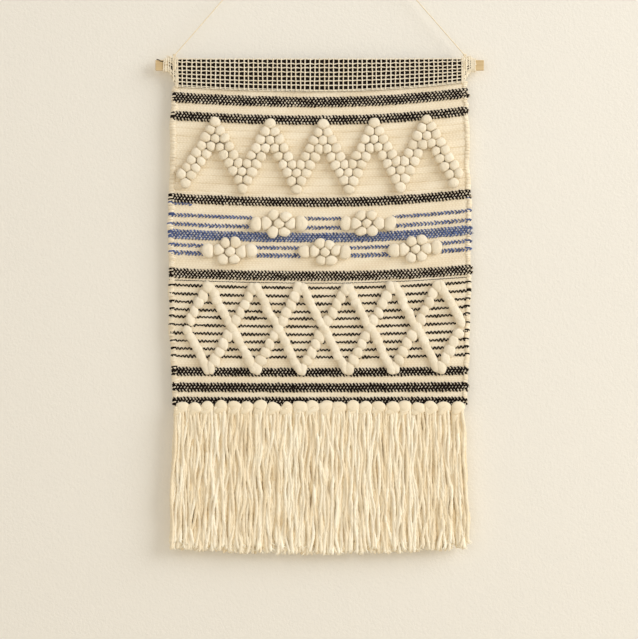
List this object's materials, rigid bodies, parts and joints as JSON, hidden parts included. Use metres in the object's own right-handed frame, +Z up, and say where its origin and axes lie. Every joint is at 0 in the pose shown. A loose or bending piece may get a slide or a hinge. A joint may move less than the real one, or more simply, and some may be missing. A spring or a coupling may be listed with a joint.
{
  "type": "tapestry wall hanging",
  "caption": "Woven wall hanging on a flat wooden slat with a string hanger, an open net header, striped cloth with raised bobbles and lattice, and a tasselled fringe.",
  "frame": {"origin": "inside of the bend at the top of the hanger cord, where it lies over its nail", "axes": "+Z up, +X to the right as the hanging is looked at, +Y towards the wall; the patterned face looks along -Y"},
  "size_m": [0.494, 0.0227, 0.9965],
  "materials": {
    "slat_wood": "plain pale softwood, unvarnished",
    "hanger_string": "twisted cotton string",
    "net_thread": "open leno net of cotton thread",
    "cream_wool": "flat weave of undyed wool and cotton",
    "soft_roving": "thick, softly spun undyed roving",
    "black_wool": "dark brown-black yarn in slanting stitches with cream flecks",
    "blue_wool": "slate-blue yarn"
  },
  "bodies": {
    "hanger": {"hanger_cord": "hanger_string"},
    "header": {"hanger_knot_left": "hanger_string", "hanger_knot_right": "hanger_string", "header_backing": "black_wool", "header_net": "net_thread", "lashing_left": "hanger_string", "lashing_right": "hanger_string", "net_gather_left": "net_thread", "net_gather_right": "net_thread", "slat": "slat_wood"},
    "panel": {"black_band_1": "black_wool", "black_band_2": "black_wool", "black_band_3": "black_wool", "black_band_4": "black_wool", "black_band_5": "black_wool", "black_band_6": "black_wool", "black_band_7": "black_wool", "blue_band": "blue_wool", "bobble_cluster_1": "soft_roving", "bobble_cluster_2": "soft_roving", "bobble_cluster_3": "soft_roving", "bobble_cluster_4": "soft_roving", "bobble_cluster_5": "soft_roving", "bobble_zigzag_1": "soft_roving", "bobble_zigzag_2": "soft_roving", "bobble_zigzag_3": "soft_roving", "bobble_zigzag_4": "soft_roving", "bobble_zigzag_5": "soft_roving", "lattice_diamond_1": "soft_roving", "lattice_diamond_2": "soft_roving", "lattice_diamond_3": "soft_roving", "lattice_diamond_4": "soft_roving", "lattice_diamond_5": "soft_roving", "lattice_diamond_6": "soft_roving", "panel_cloth": "cream_wool", "rolled_edge_left": "cream_wool", "rolled_edge_right": "cream_wool"},
    "fringe": {"tassel_01": "soft_roving", "tassel_02": "soft_roving", "tassel_03": "soft_roving", "tassel_04": "soft_roving", "tassel_05": "soft_roving", "tassel_06": "soft_roving", "tassel_07": "soft_roving", "tassel_08": "soft_roving", "tassel_09": "soft_roving", "tassel_10": "soft_roving", "tassel_11": "soft_roving", "tassel_12": "soft_roving", "tassel_13": "soft_roving", "tassel_14": "soft_roving", "tassel_15": "soft_roving", "tassel_16": "soft_roving", "tassel_17": "soft_roving", "tassel_18": "soft_roving", "tassel_19": "soft_roving", "tassel_20": "soft_roving", "tassel_21": "soft_roving", "tassel_22": "soft_roving"}
  },
  "joints": [
    {"name": "slat_tilt", "type": "hinge", "parent": "hanger", "child": "header", "pos_m": [0, 0, -0.2472], "axis": [-1, 0, 0], "range_deg": [0, 45]},
    {"name": "cloth_lift", "type": "hinge", "parent": "header", "child": "panel", "pos_m": [0, -0.0051, -0.3014], "axis": [-1, 0, 0], "range_deg": [0, 75]},
    {"name": "fringe_lift", "type": "hinge", "parent": "panel", "child": "fringe", "pos_m": [0, -0.00425, -0.7687], "axis": [-1, 0, 0], "range_deg": [0, 90]}
  ]
}
